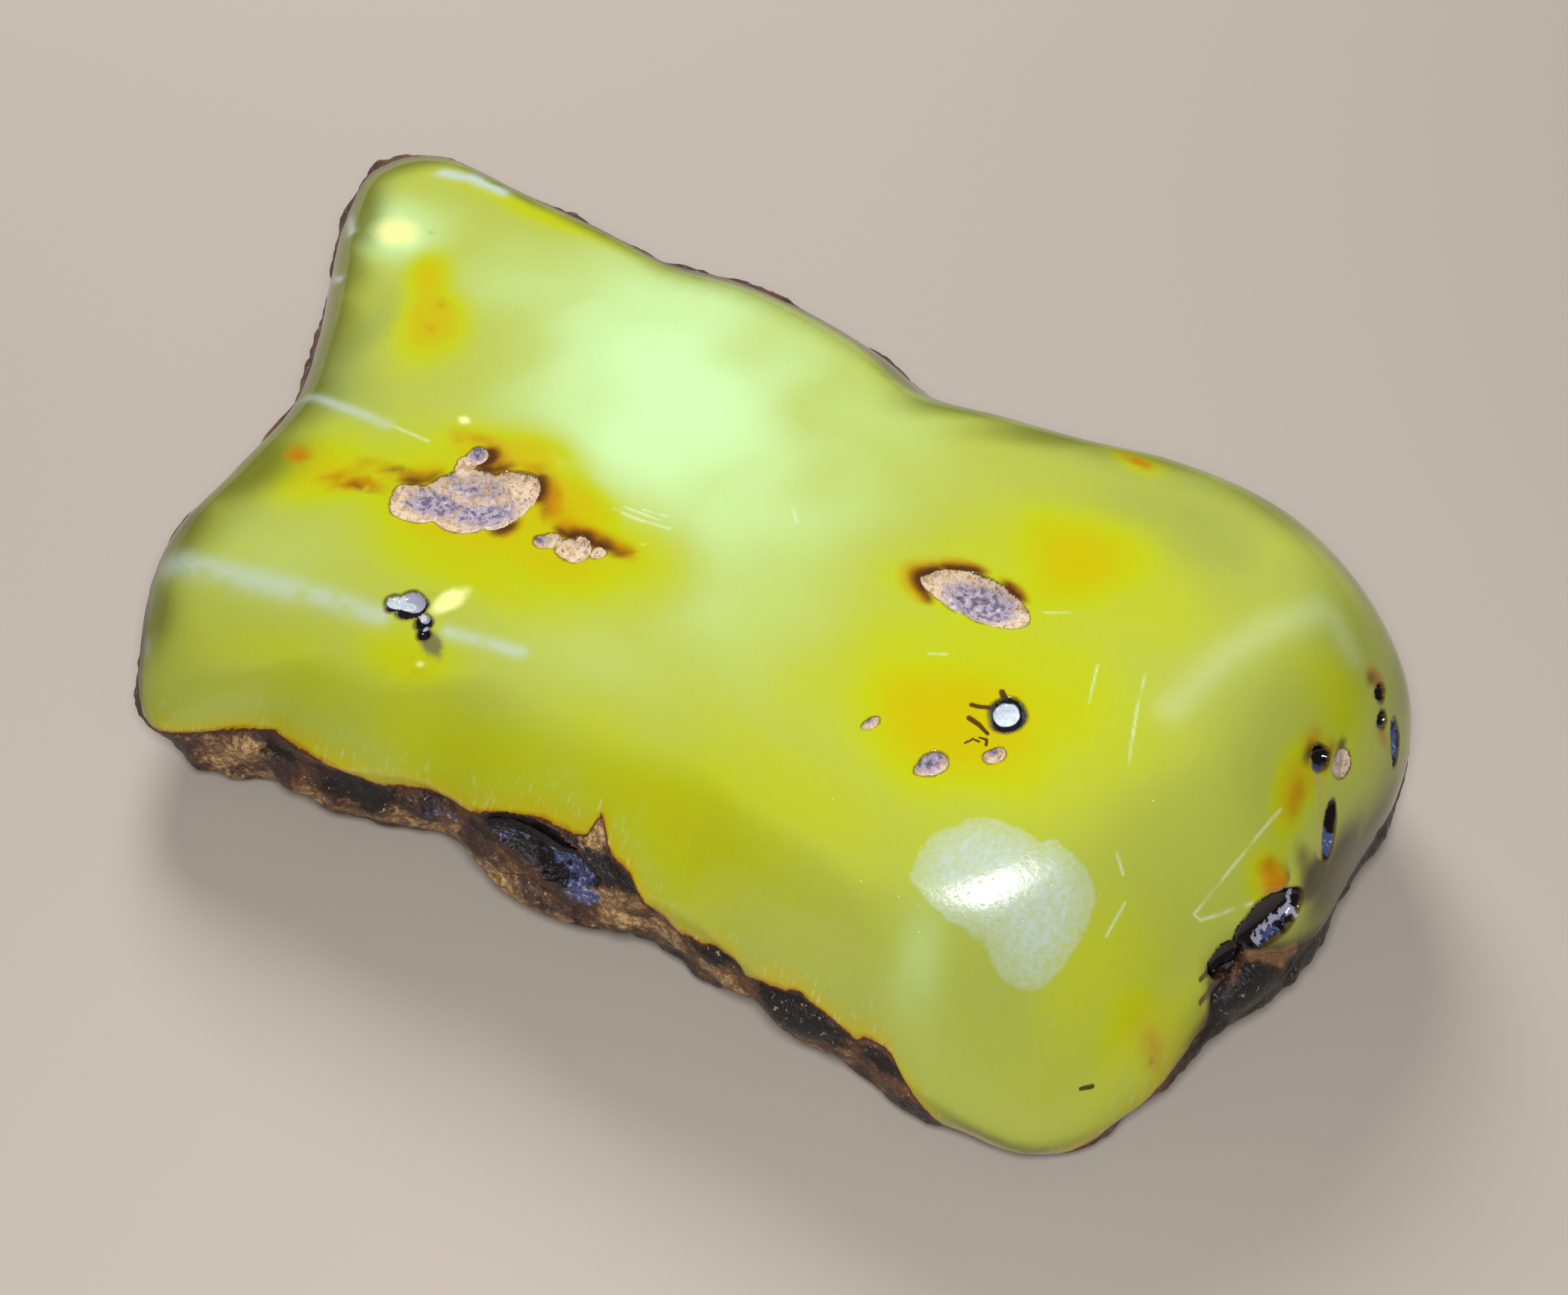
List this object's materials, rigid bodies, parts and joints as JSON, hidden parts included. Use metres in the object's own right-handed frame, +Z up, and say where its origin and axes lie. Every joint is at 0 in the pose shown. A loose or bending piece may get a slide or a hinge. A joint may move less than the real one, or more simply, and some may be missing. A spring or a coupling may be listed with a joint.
{
  "type": "raw amber piece",
  "caption": "Lump of cloudy raw amber with one domed polished face, crust-filled pits and weathered crust round its sides and below.",
  "frame": {"origin": "centre of the bounding box seen from above, on the plane the piece rests on", "axes": "+X along the length, towards the thick end; +Z up, out of the polished face"},
  "size_m": [0.0594, 0.0344, 0.0146],
  "materials": {
    "amber": "cloudy yellow-green amber with a glossy polished face and a rough brown crust"
  },
  "bodies": {
    "root": {"amber": "amber"}
  },
  "joints": []
}
